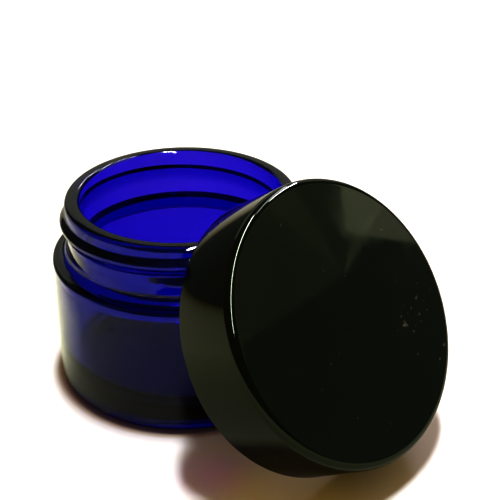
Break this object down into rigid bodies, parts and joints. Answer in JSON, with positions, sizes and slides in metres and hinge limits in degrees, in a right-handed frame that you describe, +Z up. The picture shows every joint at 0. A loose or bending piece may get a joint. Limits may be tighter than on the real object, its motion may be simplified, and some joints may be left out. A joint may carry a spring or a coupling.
{
  "type": "paint jar",
  "caption": "Straight-sided cobalt-blue glass paint jar with a wide screw neck; its glossy black flat-top screw cap with a foam liner is off and leans on the rim.",
  "frame": {"origin": "centre of the jar's base on the surface it stands on, which is also the jar's axis", "axes": "+Z up along the jar's axis, +X towards the leaning cap, which is the assembly's longest extent"},
  "size_m": [0.0927, 0.0605, 0.0558],
  "materials": {
    "cobalt_glass": "clear cobalt blue glass, fire-polished and glossy",
    "black_plastic": "high-gloss moulded black",
    "liner_foam": "matt white closed-cell foam"
  },
  "bodies": {
    "jar": {"jar_body": "cobalt_glass"},
    "liner": {"cap_liner": "liner_foam"},
    "cap": {"screw_cap": "black_plastic"}
  },
  "joints": [
    {"name": "lid_lift", "type": "slide", "parent": "jar", "child": "liner", "axis": [0.8241, 0, 0.5664], "range_m": [0, 0.06]},
    {"name": "cap_turn", "type": "hinge", "parent": "liner", "child": "cap", "pos_m": [0.03542, -0.0032, 0.02373], "axis": [0.8241, 0, 0.5664], "continuous": true}
  ]
}
